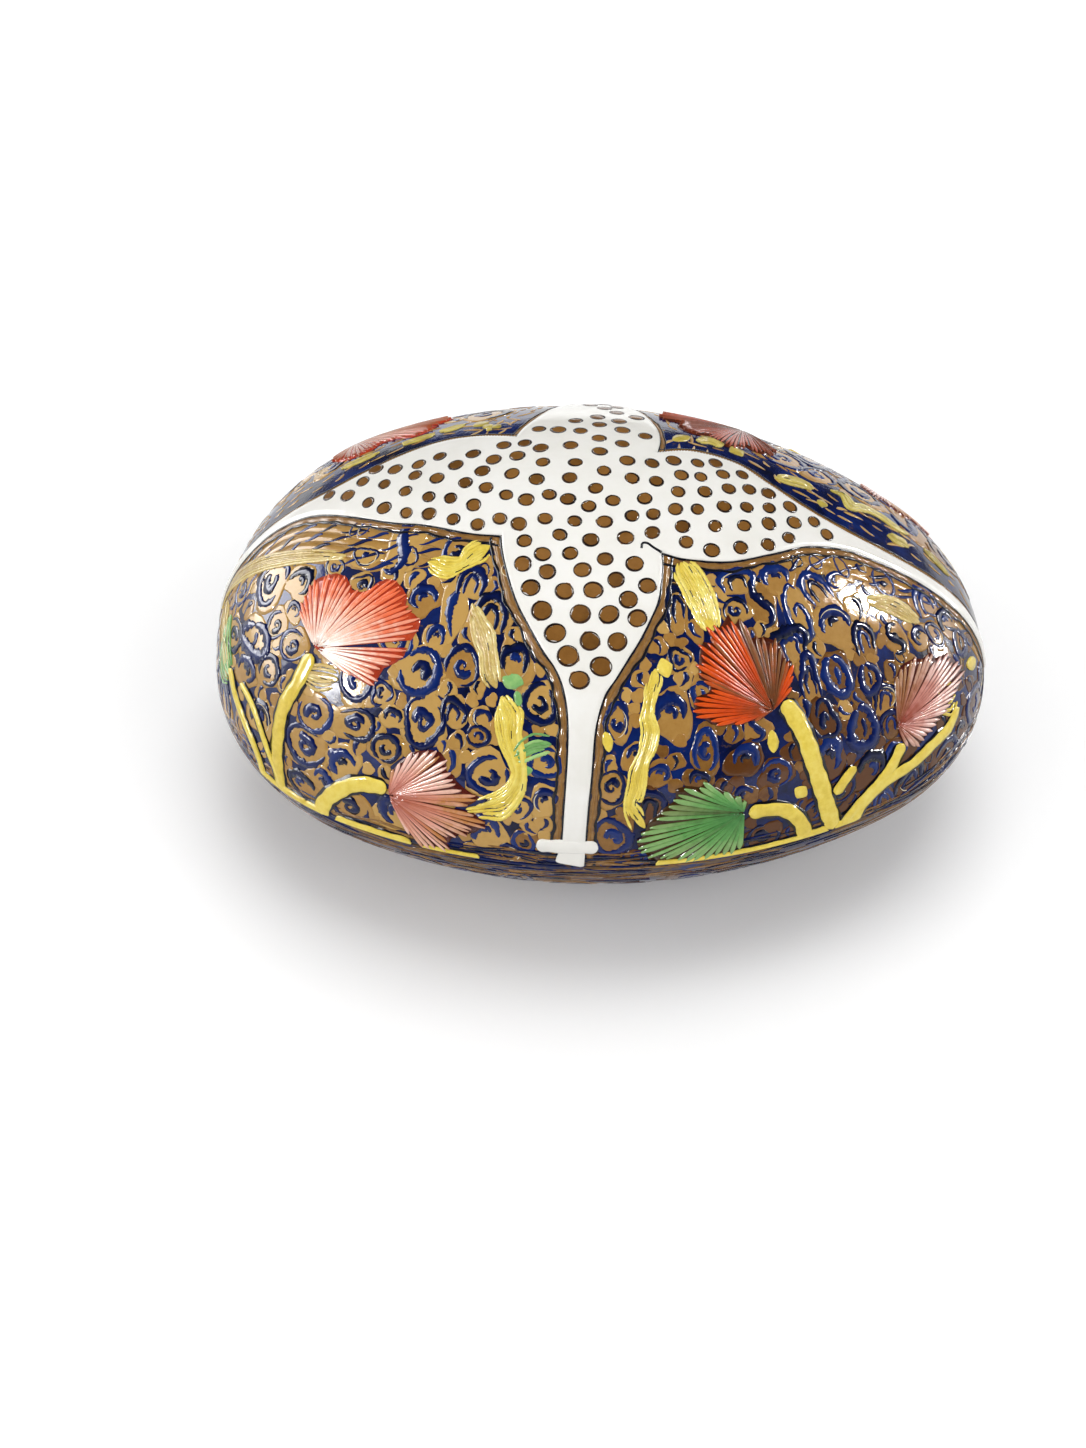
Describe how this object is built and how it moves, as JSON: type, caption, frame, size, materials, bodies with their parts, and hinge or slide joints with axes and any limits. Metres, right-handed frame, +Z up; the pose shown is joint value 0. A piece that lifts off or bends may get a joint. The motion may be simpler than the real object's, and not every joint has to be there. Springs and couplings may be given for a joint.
{
  "type": "papier mache box",
  "caption": "Egg-shaped lacquered papier mache box with a lift-off lid, raised chalk medallion, leaves and branches.",
  "frame": {"origin": "middle of the flat underside that the box stands on", "axes": "+X along the length towards the narrow end, -Y to the front, +Z up"},
  "size_m": [0.105, 0.074, 0.0549],
  "materials": {
    "painted_pulp": "gloss",
    "lining_paper": "satin",
    "collar_board": "satin",
    "white_chalk": "gloss",
    "coral_chalk": "gloss",
    "rose_chalk": "gloss",
    "orange_chalk": "gloss",
    "plum_chalk": "gloss",
    "green_chalk": "gloss",
    "yellow_chalk": "gloss"
  },
  "bodies": {
    "base": {"base_shell": "painted_pulp", "base_lining": "lining_paper", "base_collar": "collar_board"},
    "lid": {"lid_shell": "painted_pulp", "lid_lining": "lining_paper", "lid_medallion": "white_chalk", "leaf_coral": "coral_chalk", "leaf_rose": "rose_chalk", "leaf_orange": "orange_chalk", "leaf_plum": "plum_chalk", "leaf_green": "green_chalk", "leaves_back_left": "coral_chalk", "leaves_back_right": "orange_chalk", "branch_front_left": "yellow_chalk", "branch_front_right": "yellow_chalk", "branch_back_left": "yellow_chalk", "branch_back_right": "yellow_chalk"}
  },
  "joints": [
    {"name": "lid_lift", "type": "slide", "parent": "base", "child": "lid", "axis": [0, 0, 1], "range_m": [0, 0.06]}
  ]
}
